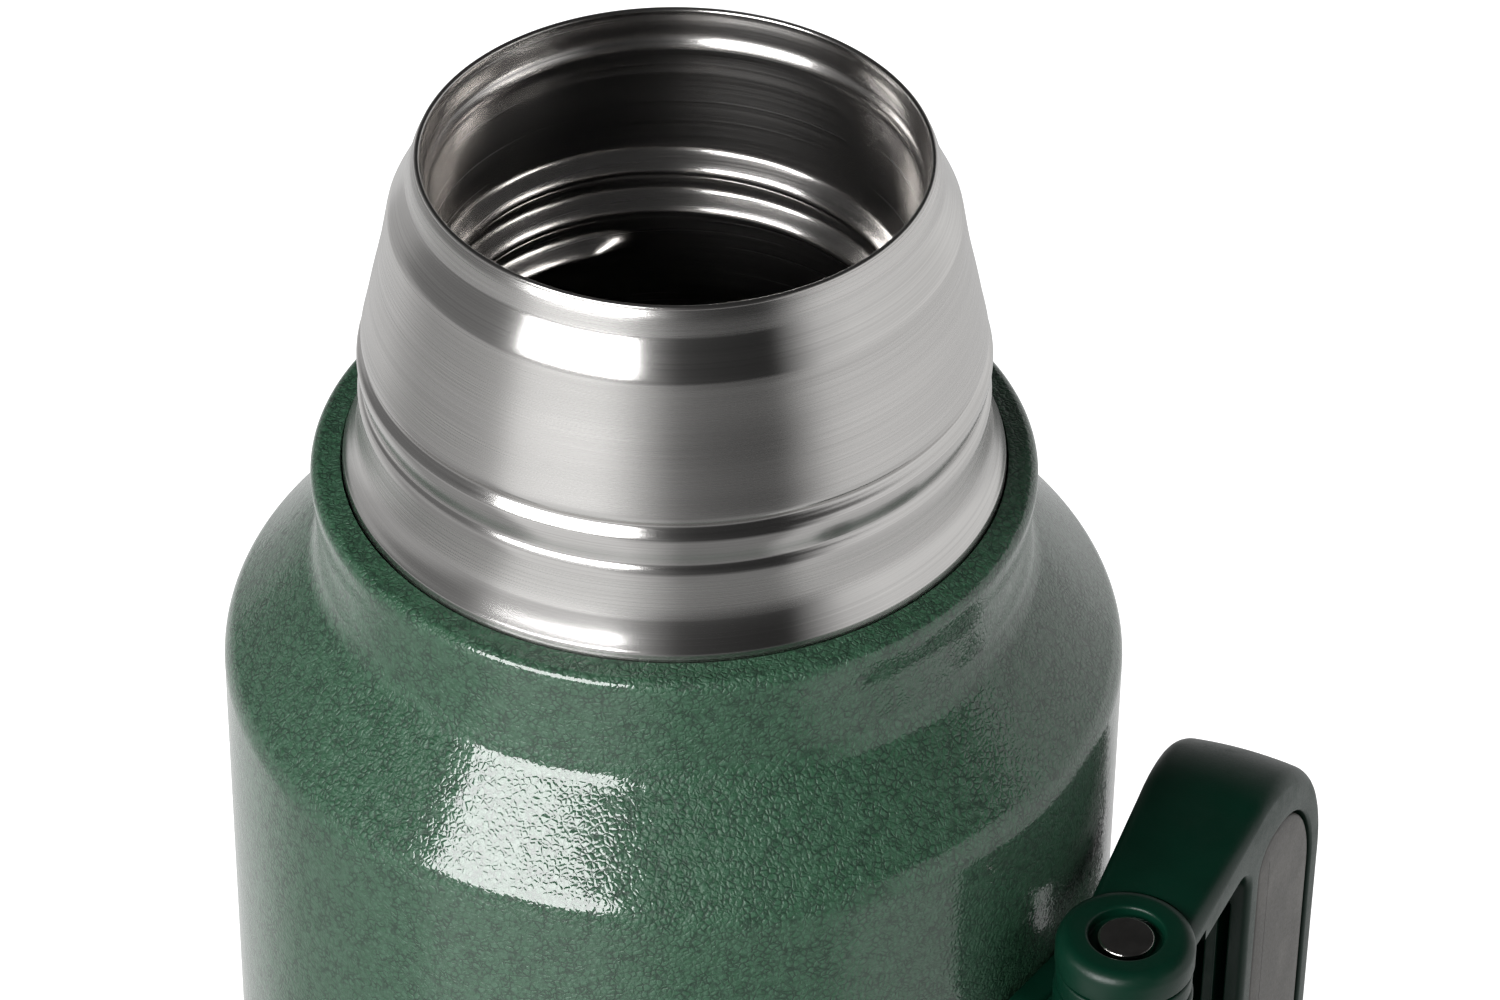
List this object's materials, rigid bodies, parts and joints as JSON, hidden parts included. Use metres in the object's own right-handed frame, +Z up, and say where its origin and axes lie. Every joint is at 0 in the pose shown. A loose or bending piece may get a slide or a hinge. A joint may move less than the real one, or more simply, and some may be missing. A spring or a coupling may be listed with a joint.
{
  "type": "vacuum flask",
  "caption": "Double-walled steel vacuum flask with a green textured paint finish, a bare steel neck, an open threaded mouth and a handle that folds against its side.",
  "frame": {"origin": "centre of the face the flask stands on, on the bottle's axis", "axes": "+Z up the bottle's axis to the mouth; +X and +Y level, with the handle's hinge at 34.5 degrees from +X towards -Y"},
  "size_m": [0.1545, 0.124, 0.3],
  "materials": {
    "green_paint": "glossy hammered enamel",
    "steel": "brushed round the neck",
    "liner_steel": "drawn and polished, with fine turning lines",
    "green_plastic": "satin moulded",
    "grey_rubber": "matt",
    "foil": "bright foil",
    "getter_alloy": "sintered",
    "braze_alloy": "as brazed"
  },
  "bodies": {
    "flask": {"outer_shell": "green_paint", "neck_sleeve": "steel", "inner_liner": "liner_steel", "liner_base": "liner_steel", "outer_base": "liner_steel", "base_cap": "green_paint", "vacuum_plug": "braze_alloy", "reflective_foil": "foil", "getter_pellet": "getter_alloy", "getter_clip": "liner_steel", "hinge_pin_upper": "steel", "hinge_pin_lower": "steel", "hinge_washer_upper": "green_plastic", "hinge_washer_lower": "green_plastic", "pin_clip_upper": "steel", "pin_clip_lower": "steel", "hinge_bracket_upper": "green_plastic", "hinge_bracket_lower": "green_plastic", "bracket_stud_upper_1": "steel", "bracket_nut_upper_1": "steel", "bracket_stud_upper_2": "steel", "bracket_nut_upper_2": "steel", "bracket_stud_lower_1": "steel", "bracket_nut_lower_1": "steel", "bracket_stud_lower_2": "steel", "bracket_nut_lower_2": "steel"},
    "handle": {"handle_frame": "green_plastic", "grip_pad_outer": "grey_rubber", "grip_pad_inner": "grey_rubber"}
  },
  "joints": [
    {"name": "handle_swing", "type": "hinge", "parent": "flask", "child": "handle", "pos_m": [0.0616, -0.04313, 0.1375], "axis": [0, 0, -1], "range_deg": [0, 102.5]}
  ]
}
